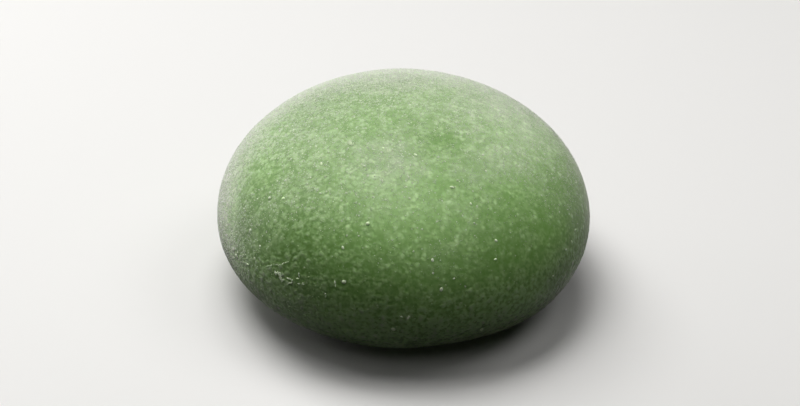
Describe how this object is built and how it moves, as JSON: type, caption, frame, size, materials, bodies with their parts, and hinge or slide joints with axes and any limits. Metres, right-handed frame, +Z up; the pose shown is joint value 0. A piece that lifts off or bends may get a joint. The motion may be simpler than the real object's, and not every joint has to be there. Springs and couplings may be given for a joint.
{
  "type": "mochi rice cake",
  "caption": "Round, uncut rice cake of soft green dough, a low dome with a bulging side and a flat foot, dusted with starch.",
  "frame": {"origin": "middle of the foot, on the surface that the cake stands on", "axes": "+Z up through the crown; the front of the cake faces -Y and its right side faces +X"},
  "size_m": [0.0674, 0.0672, 0.037],
  "materials": {
    "starched_dough": "matt, soft green rice dough under a thin uneven bloom of white starch"
  },
  "bodies": {
    "root": {"mochi": "starched_dough"}
  },
  "joints": []
}
